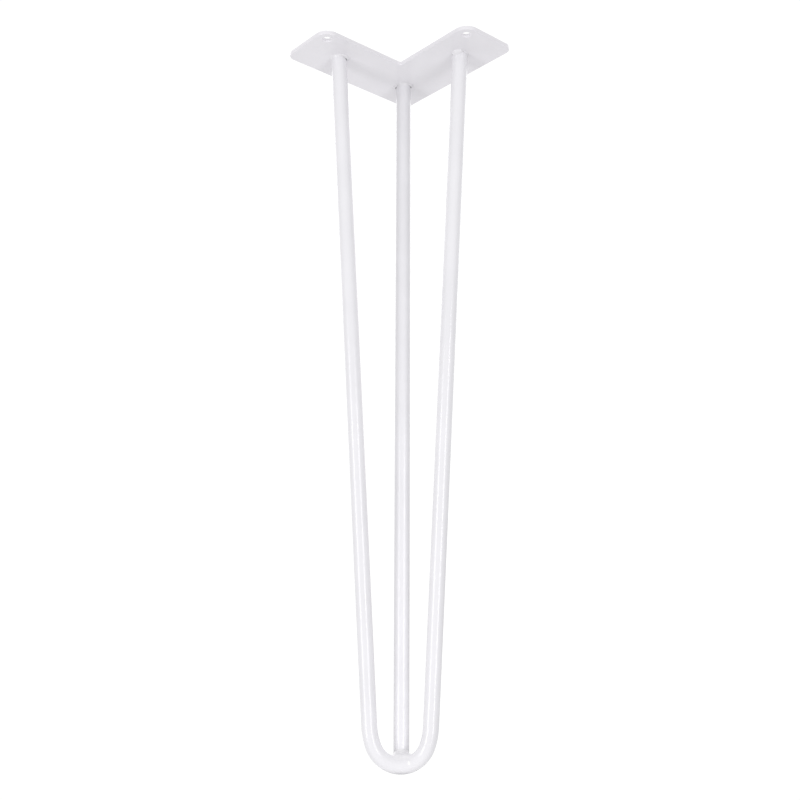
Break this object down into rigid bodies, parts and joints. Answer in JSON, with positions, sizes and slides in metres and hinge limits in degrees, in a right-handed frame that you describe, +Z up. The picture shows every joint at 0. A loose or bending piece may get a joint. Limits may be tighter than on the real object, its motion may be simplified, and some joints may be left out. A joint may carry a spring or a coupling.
{
  "type": "hairpin table leg",
  "caption": "Welded steel hairpin table leg: a bent rod and a straight rear rod meet at a rounded toe and hang from a flat V-shaped screw plate.",
  "frame": {"origin": "on the top face of the mounting plate, plumb above the lowest point of the bend", "axes": "+Z up out of the plate's top face, towards the table; +Y towards the outer corner of the V, so its arms open towards -Y; X across the leg, from one arm to the other"},
  "size_m": [0.1426, 0.1055, 0.457],
  "materials": {
    "white_powder_coat": "semi-gloss white powder coat over steel"
  },
  "bodies": {
    "root": {"mounting_plate": "white_powder_coat", "hairpin_rod": "white_powder_coat", "rear_rod": "white_powder_coat", "weld_left": "white_powder_coat", "weld_right": "white_powder_coat", "weld_rear": "white_powder_coat", "toe_weld": "white_powder_coat"}
  },
  "joints": []
}
